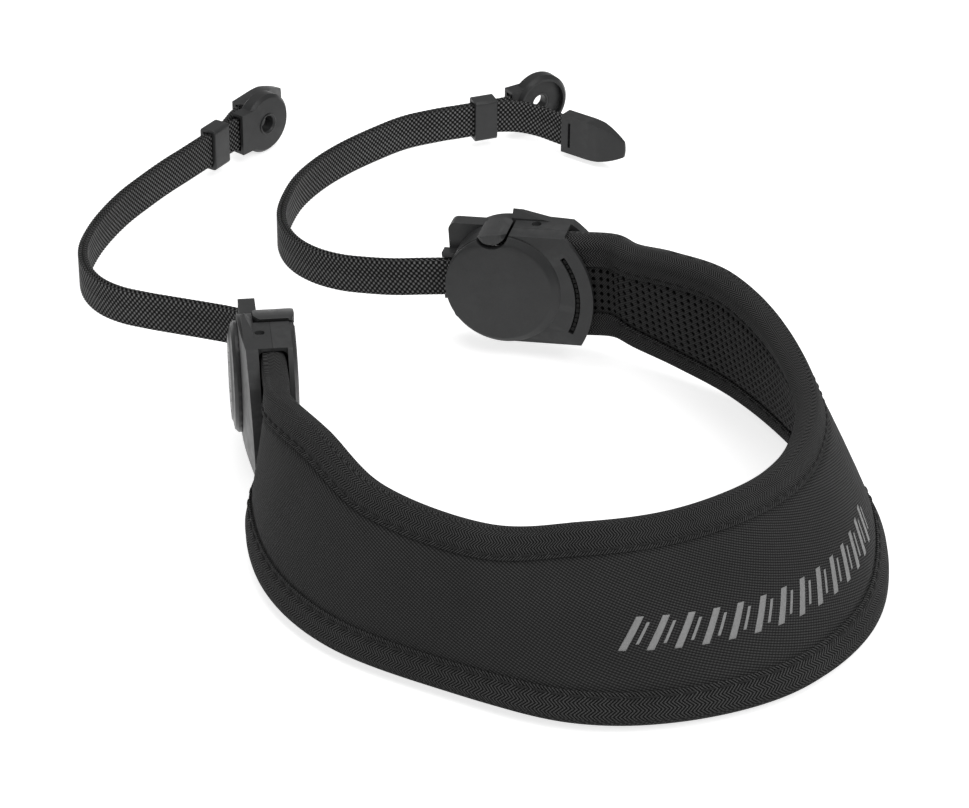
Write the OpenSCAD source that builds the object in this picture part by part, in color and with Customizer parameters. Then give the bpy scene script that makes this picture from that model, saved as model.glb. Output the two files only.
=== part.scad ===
// Binocular carrying strap: contoured neck pad, two quick-adjust housings, two
// doubled webbing loops with keepers, pull tabs and disc connectors.
// Frame: millimetres, +Z up. The strap stands on the lower edge of its pad; +Y is the
// symmetry axis of the pad, from the back of the neck towards the webbing. The origin is
// under the middle of the pad and its housings.

/* [Neck pad] */
// Foam core thickness
foam_t = 3.2; // [2.5:0.1:4]
// Thickness of the knit cover and of the mesh lining
skin_t = 0.8; // [0.5:0.05:1]
// Thickness of the edge binding tape
binding_t = 0.45; // [0.3:0.05:0.6]
// Width of binding tape seen on each face
binding_w = 7.2; // [5:0.1:9]
// Free gap between sewn layers
layer_gap = 0.1; // [0.05:0.01:0.2]
// Steps along the pad between two of its shape points
pad_steps = 4; // [3:1:5]

/* [Adjuster housing] */
// Outer radius of the round strap end
round_r = 14.8; // [14:0.1:19]
// Height of the housing
housing_h = 29.6; // [28:0.1:36]
// Distance from the round centre to the middle of the curved flange edge
flange_reach = 22.5; // [21:0.5:27]
// How much further the outer flange reaches over the pad
outer_flange_extra = 3.5; // [0:0.5:4]
// Radius of the curved flange edge
flange_edge_r = 24.8; // [20:0.1:30]
// Thickness of a flange
flange_t = 1.2; // [0.8:0.1:1.6]
// Free gap between a flange and the pad
pad_fit = 0.35; // [0.2:0.05:0.6]
// Height of the smooth dome above the inner flange
dome_rise = 1.4; // [1:0.1:2.4]
// Wall thickness of the shells
wall = 1.5; // [1.1:0.1:1.8]
// Distance from the pad's middle plane to the outside of the outer shell
outer_depth = 7.4; // [6.8:0.1:8.4]
// Height of the ringed outer cover
cover_rise = 2.3; // [2:0.1:3]
// Radius of the ringed outer cover
cover_r = 13.2; // [11:0.1:14]
// Gap at the parting line of the two shells
parting_gap = 0.06; // [0.02:0.01:0.2]
// Downward pitch of the housings towards the webbing
housing_pitch = 4; // [0:1:15]
// Height of the round centre above the table
housing_z = 20; // [19:0.5:26]

/* [Release button] */
// Radius of the button's half-round apron
button_r = 4.3; // [3.5:0.1:5]
// Button travel
button_travel = 0.9; // [0.5:0.1:1.1]
// Side gap around the button
button_fit = 0.2; // [0.1:0.05:0.3]

/* [Clamp] */
// Diameter of the clamp pin
pin_d = 1.6; // [1.2:0.1:2]
// Radius of the turning roller
roller_r = 1.5; // [1.3:0.1:1.8]
// Diameter of the roller pin
roller_pin_d = 1.2; // [1:0.1:1.4]
// Running clearance on a radius
run_fit = 0.06; // [0.03:0.01:0.1]

/* [Webbing] */
// Webbing width
web_w = 9.5; // [8.5:0.5:12]
// Webbing thickness
web_t = 1.2; // [1:0.05:1.3]
// Gap between the two layers of a loop
web_gap = 0.16; // [0.1:0.01:0.3]

/* [Keeper] */
// Length along the webbing
keeper_l = 6.5; // [5:0.5:9]
// Wall around the webbing
keeper_wall = 1.15; // [0.8:0.05:1.6]
// Free gap around the webbing
keeper_fit = 0.15; // [0.1:0.05:0.3]

/* [Connector] */
// Disc radius
disc_r = 8.5; // [7:0.1:10]
// Disc thickness
disc_t = 4.6; // [3.5:0.1:5]
// Bore of the bushing
bore_d = 4.4; // [4:0.1:6]
// Wall of the bushing
bushing_wall = 0.8; // [0.6:0.1:1.2]
// Distance from the bar to the disc centre
neck_reach = 8; // [7:0.1:12]
// Diameter of the bar
bar_d = 1.8; // [1.4:0.1:2]

/* [Pull tab] */
// Tab length
tab_l = 20; // [16:0.5:26]
// Tab thickness
tab_t = 4; // [3.6:0.1:4.4]
// Free gap around the webbing end in the tab
tab_fit = 0.25; // [0.1:0.05:0.4]

/* [Hidden] */
$fn = 64;

plastic = "#3f4042";
dark_plastic = "#2b2b2d";
knit = "#262628";
mesh_cloth = "#1b1b1c";
tape = "#2e2e30";
webbing = "#2c2c2d";
steel = "#9a9ca0";

// Housing places: plan position of the round centre and heading towards the webbing
left_place = [-34, 65.6];
left_heading = 61;
right_place = [39, 70.1];
right_heading = 130;

// Layer positions across the pad, measured from its middle plane
core_half = foam_t / 2 + layer_gap + skin_t;
pad_half = core_half + layer_gap + binding_t;
pocket_half = pad_half + pad_fit;
inner_face = pocket_half + flange_t;
dome_face = inner_face + dome_rise;
pad_end_half = housing_h / 2 - 1;

// ---------- plain vector helpers ----------
function unit(a) = a / norm(a);
function reversed(list) = [for (i = [len(list) - 1:-1:0]) list[i]];
function knot(list, i) = list[max(0, min(len(list) - 1, i))];
function spline(a, b, c, d, t) =
    0.5 * (2 * b + (c - a) * t + (2 * a - 5 * b + 4 * c - d) * t * t
           + (3 * b - a - 3 * c + d) * t * t * t);
function smooth(list, steps) = concat(
    [for (i = [0:len(list) - 2], k = [0:steps - 1])
        spline(knot(list, i - 1), list[i], list[i + 1], knot(list, i + 2), k / steps)],
    [list[len(list) - 1]]);
function along(list, i) = unit(knot(list, i + 1) - knot(list, i - 1));

// The two triangles of one cell between rings i and i + 1, cut along its shorter diagonal
function split(rings, i, k, m, n) =
    norm(rings[i][k] - rings[i + 1][m]) < norm(rings[i][m] - rings[i + 1][k])
    ? [[i * n + k, (i + 1) * n + k, (i + 1) * n + m], [i * n + k, (i + 1) * n + m, i * n + m]]
    : [[i * n + k, (i + 1) * n + k, i * n + m], [(i + 1) * n + k, (i + 1) * n + m, i * n + m]];

// One closed solid through equal rings of points
module loft(rings) {
    n = len(rings[0]);
    last = len(rings) - 1;
    polyhedron(
        points = [for (ring = rings) each ring],
        faces = concat(
            [[for (k = [0:n - 1]) k]],
            [for (i = [0:last - 1], k = [0:n - 1]) each split(rings, i, k, (k + 1) % n, n)],
            [[for (k = [n - 1:-1:0]) last * n + k]]),
        convexity = 6);
}

// ---------- neck pad ----------
// Point of a housing's own frame carried into the part's frame (u along, w up)
function seat(place, heading, u, w) = [
    place[0] + (u * cos(housing_pitch) + w * sin(housing_pitch)) * cos(heading),
    place[1] + (u * cos(housing_pitch) + w * sin(housing_pitch)) * sin(heading),
    housing_z - u * sin(housing_pitch) + w * cos(housing_pitch)];

pad_end_u = -10.8;
pad_seat_u = [-27, -18, pad_end_u];
function seat_edge(place, heading, w) = [for (u = pad_seat_u) seat(place, heading, u, w)];

// The two long edges between the housings, from the wearer's one side to the other
lower_points = [
    [-60.3, 31.6, 4.2], [-69.3, 10.1, 2], [-68.8, -13.9, 1.2], [-57.7, -40.4, 1.2],
    [-43.5, -64.6, 1.2], [-23.5, -78.4, 1.2], [1.5, -84.1, 1.2], [25.5, -78.7, 1.2], [44.5, -64.4, 1.2],
    [60.8, -40.8, 1.2], [68.5, -8.9, 1.2], [69.8, 14.1, 2.4], [64.9, 31.1, 5],
    [60.3, 42.8, 6.6]
];
upper_points = [
    [-52, 31.4, 38.2], [-53.7, 12.6, 39.2], [-53.3, -9.9, 35.9], [-43.5, -35.4, 35.9],
    [-28.5, -48.9, 38.1], [-13.5, -55.7, 38.4], [1.5, -57.9, 38.6], [16.5, -55.4, 37.8],
    [31, -47.9, 37.2], [45.5, -33.4, 37.4], [57.1, -8.7, 38.9], [60.1, 12.9, 40.5],
    [57, 29.6, 39.2], [55.7, 42.1, 36.3]
];
function pad_edge(points, w) = smooth(concat(
    reversed(seat_edge(left_place, left_heading, w)), points,
    seat_edge(right_place, right_heading, w)), pad_steps);
lower_edge = pad_edge(lower_points, -pad_end_half);
upper_edge = pad_edge(upper_points, pad_end_half);

// Point at station i, at a distance across from one edge and n outwards from the middle plane
function pad_point(i, across, n, low) =
    let (a = lower_edge[i], b = upper_edge[i],
         w = unit(b - a),
         t = unit(along(lower_edge, i) + along(upper_edge, i)),
         out = unit(cross(t, w)))
    (low ? a + w * across : b - w * across) + out * n;

edge_inset = binding_t + layer_gap;
function pad_row(i, n) = [
    pad_point(i, edge_inset, n, true), pad_point(i, binding_w, n, true),
    pad_point(i, binding_w, n, false), pad_point(i, edge_inset, n, false)];
function pad_layer(n0, n1) = [for (i = [0:len(lower_edge) - 1])
    concat(pad_row(i, n1), reversed(pad_row(i, n0)))];

function binding_section() = [
    [binding_w, -pad_half], [1.1, -pad_half], [0.3, -pad_half + 0.9], [0, 0],
    [0.3, pad_half - 0.9], [1.1, pad_half], [binding_w, pad_half],
    [binding_w, pad_half - binding_t], [edge_inset - layer_gap / 2, pad_half - binding_t],
    [edge_inset - layer_gap / 2, binding_t - pad_half], [binding_w, binding_t - pad_half]];
function binding(low) = [for (i = [0:len(lower_edge) - 1])
    [for (p = binding_section()) pad_point(i, p[0], p[1], low)]];

module pad_foam() {
    color(knit) loft(pad_layer(-foam_t / 2, foam_t / 2));
}

module pad_outer_cover() {
    color(knit) loft(pad_layer(foam_t / 2 + layer_gap, core_half));
}

module pad_inner_mesh() {
    color(mesh_cloth) loft(pad_layer(-core_half, -foam_t / 2 - layer_gap));
}

module pad_upper_binding() {
    color(tape) loft([for (ring = binding(false)) reversed(ring)]);
}

module pad_lower_binding() {
    color(tape) loft(binding(true));
}

// ---------- adjuster housing, own frame: x to the webbing, y outwards, z up ----------
cavity_r = round_r - wall;
cavity_u = -9.6;
roof = outer_depth - 1.1;
mouth_u = 15;
web_step = (web_t + web_gap) / 2;
turn_r = roller_r + 0.1 + web_t / 2;
slot_r = flange_edge_r - 3.9;
slot_w = 1.3;
edge_centre = flange_edge_r - flange_reach;
edge_drop = -2;
outer_drop = -5;
roof_u = -15.8;
dome_shift = 1.3;
button_u = 2.4;
button_w = 17;
button_proud = 0.7;
pin_u = -7.4;
pin_v = 2.6;
lever_t = 1.2;
horn_h = 2.2;
horn_u = -0.8;
button_back = 3.7;
horn_v = button_back + button_fit + 0.15;
bearing_w = web_w / 2 + 1;

// Solid with an outline in the x-z plane, from y0 to y1
module slab(y0, y1) {
    translate([0, y1, 0]) rotate([90, 0, 0]) linear_extrude(y1 - y0) children();
}

module outline(extra = 0, drop = edge_drop) {
    circle(r = round_r, $fn = 96);
    intersection() {
        translate([edge_centre - extra, drop]) circle(r = flange_edge_r, $fn = 128);
        translate([-40, -housing_h / 2]) square([40, housing_h]);
    }
}

module cavity() {
    intersection() {
        circle(r = cavity_r, $fn = 96);
        translate([cavity_u, -cavity_r]) square([40, 2 * cavity_r]);
    }
}

// Space for the pad end, open towards the pad
module pad_pocket() {
    translate([-40, 0, 0]) rotate([0, 90, 0]) linear_extrude(40 + pad_end_u + 0.5)
        rounded_box(2 * pad_end_half + 0.4, 2 * pocket_half, 1.6);
    translate([-40, -pocket_half, -20]) cube([40 + roof_u, 2 * pocket_half, 40]);
}

module button_well() {
    slab(-20, button_back + button_fit) {
        translate([button_u, button_w - button_travel - 0.15])
            circle(r = button_r + button_fit, $fn = 64);
        translate([button_u - button_r - button_fit, button_w - button_travel - 0.15])
            square([2 * (button_r + button_fit), 12]);
    }
}

// Vertical bores that carry the two pins, and the webbing mouth
module housing_cuts() {
    translate([pin_u, pin_v, -20]) cylinder(d = pin_d, h = 40);
    translate([0, 0, -bearing_w - 2]) cylinder(d = roller_pin_d, h = 2 * bearing_w + 4);
    translate([10, -web_t - web_gap - 0.5, -web_w / 2 - 0.3])
        cube([10, 2 * (web_t + web_gap) + 1, web_w + 0.6]);
}

// Shelves above and below the webbing that carry the roller pin and the button spring
module shelves(y0, y1) {
    for (side = [-1, 1])
        translate([-3, y0, side > 0 ? bearing_w : -bearing_w - 1.4]) cube([9.5, y1 - y0, 1.4]);
    for (side = [-1, 1])
        translate([-3, y0, side > 0 ? bearing_w : -cavity_r]) cube([1.2, y1 - y0, cavity_r - bearing_w]);
}

module inner_shell() {
    difference() {
        union() {
            difference() {
                slab(-inner_face, -parting_gap / 2) outline();
                slab(-inner_face + 0.01, 1) cavity();
            }
            intersection() {
                translate([dome_shift, 0, 0]) rotate([90, 0, 0]) rotate_extrude($fn = 128)
                    polygon([[0, inner_face - 0.4], [round_r + 1.2, inner_face - 0.4],
                        [round_r + 0.9, inner_face + 0.05], [round_r - 0.3, inner_face + 0.5 * dome_rise],
                        [round_r - 1.6, dome_face], [0, dome_face]]);
                slab(-dome_face - 1, 0) circle(r = round_r - 0.15, $fn = 128);
            }
            shelves(-inner_face + 0.2, -parting_gap / 2);
        }
        slab(-dome_face + wall, 1) cavity_floor();
        pad_pocket();
        button_well();
        housing_cuts();
        seam_slot();
    }
}

// Hollow under the dome, clear of the shelves
module cavity_floor() {
    intersection() {
        circle(r = cavity_r - 1, $fn = 96);
        translate([cavity_u, -bearing_w]) square([40, 2 * bearing_w]);
    }
}

module seam_slot() {
    rotate([90, 0, 0]) translate([edge_centre, edge_drop, pocket_half - 0.5])
        rotate([0, 0, 147]) rotate_extrude(angle = 60, $fn = 128)
            translate([slot_r - slot_w / 2, 0]) square([slot_w, flange_t + 1]);
}

module horn() {
    top = housing_h / 2;
    intersection() {
        slab(horn_v, outer_depth - 0.8)
            polygon([[-12.5, top - 1], [-11.5, top - 0.2], [horn_u - 0.4, top + horn_h],
                [horn_u, top + horn_h], [horn_u, top - 2]]);
        translate([-14, 0, 0]) rotate([90, 0, 90]) linear_extrude(16)
            polygon([[horn_v, 5], [outer_depth, 5], [outer_depth, top + horn_h - 1],
                [outer_depth - 1.5, top + horn_h], [horn_v, top + 0.4]]);
    }
}

// Squared corners that guard the webbing mouth on the outer side
module mouth_guard() {
    slab(2.6, outer_depth - 0.8) {
        translate([6, -11.6]) square([9.4, 23.2]);
        for (side = [-1, 1]) {
            translate([6, side > 0 ? 11.6 : -13.6]) square([7.4, 2]);
            translate([13.4, side * 11.6]) circle(r = 2, $fn = 32);
        }
    }
}

module outer_shell() {
    difference() {
        union() {
            intersection() {
                slab(parting_gap / 2, outer_depth) outline(outer_flange_extra, outer_drop);
                rotate([-90, 0, 0]) rotate_extrude($fn = 128)
                    polygon([[0, -1], [30, -1], [30, outer_depth - 2.3], [round_r - 0.4, outer_depth],
                        [0, outer_depth]]);
            }
            for (side = [-1, 1]) slab(parting_gap / 2, 3)
                translate([12.4, side > 0 ? web_w / 2 + 0.4 : -web_w / 2 - 1.7]) square([4.4, 1.3]);
            horn();
            mouth_guard();
        }
        difference() {
            slab(-1, roof) cavity();
            shelves(-1, roof + 1);
        }
        pad_pocket();
        button_well();
        housing_cuts();
        translate([pin_u, pin_v, housing_h / 2 - 0.9]) cylinder(d = pin_d + 0.8, h = 5);
    }
}

module outer_cover() {
    translate([0, outer_depth, 0]) rotate([-90, 0, 0]) difference() {
        rotate_extrude($fn = 128)
            polygon([[0, 0.05], [cover_r, 0.05], [cover_r, 0.9], [cover_r - 0.8, 1.7],
                [cover_r - 2.6, 2], [cover_r - 3.1, cover_rise], [0, cover_rise]]);
        for (r = [3.2, 5.6, 8]) translate([0, 0, cover_rise - 0.35])
            rotate_extrude($fn = 96) translate([r, 0]) square([0.6, 1]);
    }
}

module release_button() {
    difference() {
        intersection() {
            slab(-dome_face, button_back) {
                translate([button_u, button_w]) circle(r = button_r, $fn = 64);
                translate([button_u - button_r, button_w]) square([2 * button_r, 4]);
            }
            slab(-30, 30) circle(r = round_r + button_proud, $fn = 160);
            union() {
                translate([button_u, (button_back - dome_face) / 2, 0]) cylinder(r = 5.2, h = 40, $fn = 96);
                slab(-dome_face + 0.4, 0) circle(r = round_r - 0.2, $fn = 96);
            }
        }
        translate([button_u, -0.4, 10]) cylinder(d = 3.6, h = 4.6, $fn = 32);
    }
}

spring_turns = 4;
spring_r = 1.35;
spring_wire = 0.35;
spring_low = bearing_w + 1.45 + spring_wire / 2;
spring_high = 14.55 - spring_wire / 2;
module button_spring() {
    turn_steps = 12;
    steps = spring_turns * turn_steps;
    loft([for (i = [0:steps])
        let (a = i * 360 / turn_steps, z = spring_low + (spring_high - spring_low) * i / steps)
        [for (k = [0:5])
            let (b = -k * 60, r = spring_r + spring_wire / 2 * cos(b))
            [button_u + r * cos(a), -0.4 + r * sin(a), z + spring_wire / 2 * sin(b)]]]);
}

module cam_lever() {
    difference() {
        union() {
            translate([pin_u, pin_v, -web_w / 2 + 0.3]) cylinder(r = 1.75, h = web_w - 0.6, $fn = 48);
            translate([0, 0, -web_w / 2 + 0.3]) linear_extrude(web_w - 0.6)
                polygon([[pin_u, pin_v + 0.4], [pin_u + 1.2, pin_v - 0.2], [-3.6, 3], [1.2, 3.05],
                    [2.2, 2.85], [2.6, 3.05], [3.4, 2.75], [3.8, 3.2], [3.8, 3 + lever_t],
                    [-3.6, 3 + lever_t], [pin_u, pin_v + 1.7]]);
        }
        translate([pin_u, pin_v, -20]) cylinder(d = pin_d + 2 * run_fit, h = 40, $fn = 48);
    }
}

module cam_pin() {
    translate([pin_u, pin_v, -housing_h / 2 + 1.2]) cylinder(d = pin_d, h = housing_h - 2.4, $fn = 48);
}

module turn_roller() {
    difference() {
        translate([0, 0, -bearing_w + 0.1]) cylinder(r = roller_r, h = 2 * bearing_w - 0.2, $fn = 48);
        translate([0, 0, -20]) cylinder(d = roller_pin_d + 2 * run_fit, h = 40, $fn = 48);
    }
}

module roller_pin() {
    translate([0, 0, -bearing_w - 1.3]) cylinder(d = roller_pin_d, h = 2 * bearing_w + 2.6, $fn = 48);
}

module seam_stitches() {
    stitch_count = 15;
    step = 57 / stitch_count;
    rotate([90, 0, 0]) translate([edge_centre, edge_drop, pocket_half - 0.3])
        for (i = [0:stitch_count - 1]) rotate([0, 0, 148.5 + step * (i + 0.12)])
            rotate_extrude(angle = step * 0.76, $fn = 128)
                translate([slot_r - 0.4, 0]) square([0.8, flange_t]);
}

module webbing_turn() {
    arc = [for (k = [0:24]) 90 + k * 7.5];
    translate([0, 0, -web_w / 2]) linear_extrude(web_w) polygon(concat(
        [[mouth_u, web_step + web_t / 2]],
        [for (a = arc) (turn_r + web_t / 2) * [cos(a), sin(a)]],
        [[mouth_u, -web_step - web_t / 2], [mouth_u, web_t / 2 - web_step]],
        [for (a = reversed(arc)) (turn_r - web_t / 2) * [cos(a), sin(a)]],
        [[mouth_u, web_step - web_t / 2]]));
}

module at_left_housing() {
    translate([left_place[0], left_place[1], housing_z])
        rotate([0, 0, left_heading]) rotate([0, housing_pitch, 0]) children();
}

module at_right_housing() {
    translate([right_place[0], right_place[1], housing_z])
        rotate([0, 0, right_heading]) rotate([0, housing_pitch, 0]) mirror([0, 1, 0]) children();
}

// ---------- webbing loops ----------
// Routes of the doubled webbing from each housing mouth to just past its keeper
left_route = [
    seat(left_place, left_heading, mouth_u, 0),
    [-24.3, 84.6, 17.9], [-23.5, 91.1, 16.4], [-25, 98.1, 15.1], [-28, 105.1, 14.1],
    [-31.8, 112.6, 13.2], [-35.7, 120.1, 12.4], [-38.9, 128.1, 11.5], [-39.9, 136.8, 10.6],
    [-38.1, 146.2, 9.7], [-33.5, 155.6, 8.9], [-27, 163.4, 8.3], [-19, 170.4, 8.1],
    [-9, 176.9, 8.25], [2, 182.1, 8.5], [9.5, 185.2, 8.7], [16.5, 187.9, 8.7], [23, 190.5, 8.7],
    [29.5, 193.1, 8.7]
];
right_route = [
    seat(right_place, right_heading, mouth_u, 0),
    [24.7, 87.1, 17.8], [20.4, 93.1, 16.3], [16.7, 99.9, 14.8], [13.5, 107.1, 13.4],
    [11.5, 115.4, 12.2], [11.5, 124.4, 11.1], [13.9, 133.6, 10], [18.7, 142.8, 8.9],
    [25.8, 151.2, 8.2], [34.5, 158.6, 8], [44.8, 164, 8], [55.5, 167.5, 8], [66.5, 169.4, 8.15],
    [76.5, 170, 8.4], [86, 168.2, 8.6], [92.7, 166.4, 8.6], [99.5, 164.6, 8.6]
];
left_main_end = [
    [33.2, 194.6, 8.7], [35.8, 195.4, 8.8], [38.2, 195.7, 8.9]
];
left_tail_end = [
    [33.2, 194.6, 8.7], [36.6, 197.1, 8.6], [39.6, 199.5, 8.5], [42.9, 201.4, 8.4],
    [44.9, 202.2, 8.4]
];
right_main_end = [
    [103.4, 163.6, 8.6], [106.2, 163, 8.65], [108.9, 163.25, 8.7]
];
right_tail_end = [
    [103.4, 163.6, 8.6], [108.8, 160.9, 8.1], [112.5, 156.6, 7.6], [114.5, 151.5, 7.3],
    [115.7, 147.6, 7.2], [116.4, 145.5, 7.2]
];
left_keeper_at = [29.5, 193.1, 8.7];
left_keeper_heading = 21.8;
right_keeper_at = [99.5, 164.6, 8.6];
right_keeper_heading = -14.9;
left_tab_heading = 21.8;
right_tab_heading = -71.6;
left_disc_heading = 14;
right_disc_heading = -2;
left_disc_z = 9;
right_disc_z = 8.7;

function side_way(t) = unit([-t[1], t[0], 0]);
function web_ring(p, t, shift) =
    let (s = side_way(t), up = cross(t, s), h = web_w / 2, a = web_t / 2)
    [for (q = [[-a, -h + 0.3], [-a, h - 0.3], [-a + 0.3, h], [a - 0.3, h],
               [a, h - 0.3], [a, -h + 0.3], [a - 0.3, -h], [-a + 0.3, -h]])
        p + s * (shift + q[0]) + up * q[1]];
// The first ring lies in the housing's mouth, so it follows the housing's heading
function web_rings(route, shift, start) = [for (i = [0:len(route) - 1])
    web_ring(route[i], i == 0 ? start : along(route, i), shift)];
function mouth_way(heading) = [
    cos(housing_pitch) * cos(heading), cos(housing_pitch) * sin(heading), -sin(housing_pitch)];

module left_layer(end, shift) {
    loft(web_rings(concat(left_route, end), shift, mouth_way(left_heading)));
}

module right_layer(end, shift) {
    loft(web_rings(concat(right_route, end), shift, mouth_way(right_heading)));
}

module keeper() {
    inner_t = 2 * web_t + web_gap + 2 * keeper_fit;
    inner_h = web_w + 2 * keeper_fit;
    difference() {
        translate([-keeper_l / 2, 0, 0]) rotate([0, 90, 0]) linear_extrude(keeper_l)
            rounded_box(inner_h + 2 * keeper_wall, inner_t + 2 * keeper_wall, 1.1);
        cube([keeper_l + 2, inner_t, inner_h], center = true);
    }
}

module rounded_box(x, y, r) {
    square([x - 2 * r, y], center = true);
    square([x, y - 2 * r], center = true);
    for (a = [-1, 1], b = [-1, 1])
        translate([a * (x / 2 - r), b * (y / 2 - r)]) circle(r = r, $fn = 32);
}

// Connector, own frame: origin at the bar, x outwards along the strap, +y its front
neck_h = web_w + 2.4;
neck_back = 1.5;
module connector_body() {
    difference() {
        union() {
            translate([neck_reach, 0, 0]) rotate([90, 0, 0]) rotate_extrude($fn = 96)
                polygon([[0, -disc_t / 2], [disc_r - 0.9, -disc_t / 2], [disc_r, -disc_t / 2 + 0.9],
                    [disc_r, disc_t / 2 - 0.9], [disc_r - 0.9, disc_t / 2], [0, disc_t / 2]]);
            translate([-1.9, -neck_back, -neck_h / 2]) cube([6.9, neck_back + disc_t / 2, neck_h]);
        }
        translate([neck_reach, 0, 0]) rotate([90, 0, 0])
            cylinder(d = bore_d + 2 * bushing_wall, h = 20, center = true);
        translate([neck_reach, -disc_t / 2 + 1.5, 0]) rotate([90, 0, 0])
            cylinder(r = disc_r - 1.6, h = 10, $fn = 96);
        cylinder(d = bar_d + 2 * run_fit, h = neck_h - 1.4, center = true);
        translate([0, 0, -web_w / 2 - 0.3]) linear_extrude(web_w + 0.6)
            polygon([[-2.5, -1.2], [1.3, -0.9], [1.3, 0.9], [-2.5, 1.4]]);
    }
}

module connector_bushing() {
    translate([neck_reach, 0, 0]) rotate([90, 0, 0]) difference() {
        translate([0, 0, -disc_t / 2 - 0.3]) cylinder(d = bore_d + 2 * bushing_wall - 0.02, h = disc_t - 1.2);
        cylinder(d = bore_d, h = 30, center = true);
        translate([0, 0, -disc_t / 2 - 0.31]) cylinder(d1 = bore_d + 1, d2 = bore_d, h = 0.5);
    }
}

module connector_bar() {
    cylinder(d = bar_d, h = neck_h - 1.5, center = true, $fn = 48);
}

module pull_tab() {
    h0 = web_w / 2 + 0.9;
    difference() {
        slab(-tab_t / 2, tab_t / 2) {
            intersection() {
                translate([0, -h0]) square([tab_l, 2 * h0]);
                translate([tab_l - 12, 22 - h0]) circle(r = 22, $fn = 160);
                translate([tab_l - 12, h0 - 22]) circle(r = 22, $fn = 160);
                translate([tab_l - 8, 0]) circle(r = 8, $fn = 96);
            }
            translate([0, -h0]) square([tab_l - 11.5, 2 * h0]);
        }
        translate([-1, -web_t / 2 - tab_fit, -web_w / 2 - tab_fit])
            cube([5, web_t + 2 * tab_fit, web_w + 2 * tab_fit]);
        for (side = [-1, 1]) translate([tab_l - 8, side * (tab_t / 2 + 3.1), 0])
            rotate([0, 0, -side * 12]) cube([24, 6, 40], center = true);
        translate([2.2, -5, -web_w / 2 + 1]) cube([0.8, 4, web_w - 2]);
    }
}

module at_left_strap(p, heading) {
    translate(p) rotate([0, 0, heading]) mirror([0, 1, 0]) children();
}

module at_right_strap(p, heading) {
    translate(p) rotate([0, 0, heading]) children();
}

// A place d further along a heading and side to its left
function past(p, heading, d, side) =
    [p[0] + d * cos(heading) - side * sin(heading), p[1] + d * sin(heading) + side * cos(heading), p[2]];
bar_reach = 10.2;
left_bar_offset = 1.6;
right_bar_offset = 2.2;
left_bar = past(left_keeper_at, left_keeper_heading, bar_reach, -left_bar_offset);
right_bar = past(right_keeper_at, right_keeper_heading, bar_reach, right_bar_offset);
left_tab_at = past(left_tail_end[3], left_tab_heading, 0, web_step);
right_tab_at = past(right_tail_end[4], right_tab_heading, 0, -web_step);

module at_left_disc() {
    at_left_strap([left_bar[0], left_bar[1], left_disc_z], left_disc_heading) children();
}

module at_right_disc() {
    at_right_strap([right_bar[0], right_bar[1], right_disc_z], right_disc_heading) children();
}

pad_foam();
pad_outer_cover();
pad_inner_mesh();
pad_upper_binding();
pad_lower_binding();

color(plastic) at_left_housing() inner_shell();  // left_inner_shell
color(plastic) at_left_housing() outer_shell();  // left_outer_shell
color(plastic) at_left_housing() outer_cover();  // left_outer_cover
color(plastic) at_left_housing() release_button();  // left_release_button
color(steel) at_left_housing() button_spring();  // left_button_spring
color(dark_plastic) at_left_housing() cam_lever();  // left_cam_lever
color(steel) at_left_housing() cam_pin();  // left_cam_pin
color(dark_plastic) at_left_housing() turn_roller();  // left_turn_roller
color(steel) at_left_housing() roller_pin();  // left_roller_pin
color(tape) at_left_housing() seam_stitches();  // left_seam_stitches
color(webbing) at_left_housing() webbing_turn();  // left_webbing_turn

color(plastic) at_right_housing() inner_shell();  // right_inner_shell
color(plastic) at_right_housing() outer_shell();  // right_outer_shell
color(plastic) at_right_housing() outer_cover();  // right_outer_cover
color(plastic) at_right_housing() release_button();  // right_release_button
color(steel) at_right_housing() button_spring();  // right_button_spring
color(dark_plastic) at_right_housing() cam_lever();  // right_cam_lever
color(steel) at_right_housing() cam_pin();  // right_cam_pin
color(dark_plastic) at_right_housing() turn_roller();  // right_turn_roller
color(steel) at_right_housing() roller_pin();  // right_roller_pin
color(tape) at_right_housing() seam_stitches();  // right_seam_stitches
color(webbing) at_right_housing() webbing_turn();  // right_webbing_turn

color(webbing) left_layer(left_main_end, -web_step);  // left_strap_main
color(webbing) left_layer(left_tail_end, web_step);  // left_strap_tail
color(plastic) at_left_strap(left_keeper_at, left_keeper_heading) keeper();  // left_keeper
color(dark_plastic) at_left_disc() connector_body();  // left_connector_body
color(plastic) at_left_disc() connector_bushing();  // left_connector_bushing
color(steel) at_left_disc() connector_bar();  // left_connector_bar
color(dark_plastic) at_left_strap(left_tab_at, left_tab_heading) pull_tab();  // left_pull_tab

color(webbing) right_layer(right_main_end, web_step);  // right_strap_main
color(webbing) right_layer(right_tail_end, -web_step);  // right_strap_tail
color(plastic) at_right_strap(right_keeper_at, right_keeper_heading) keeper();  // right_keeper
color(dark_plastic) at_right_disc() connector_body();  // right_connector_body
color(plastic) at_right_disc() connector_bushing();  // right_connector_bushing
color(steel) at_right_disc() connector_bar();  // right_connector_bar
color(dark_plastic) at_right_strap(right_tab_at, right_tab_heading) pull_tab();  // right_pull_tab
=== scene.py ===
import math
import bpy
import numpy as np
from mathutils import Matrix, Vector


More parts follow.
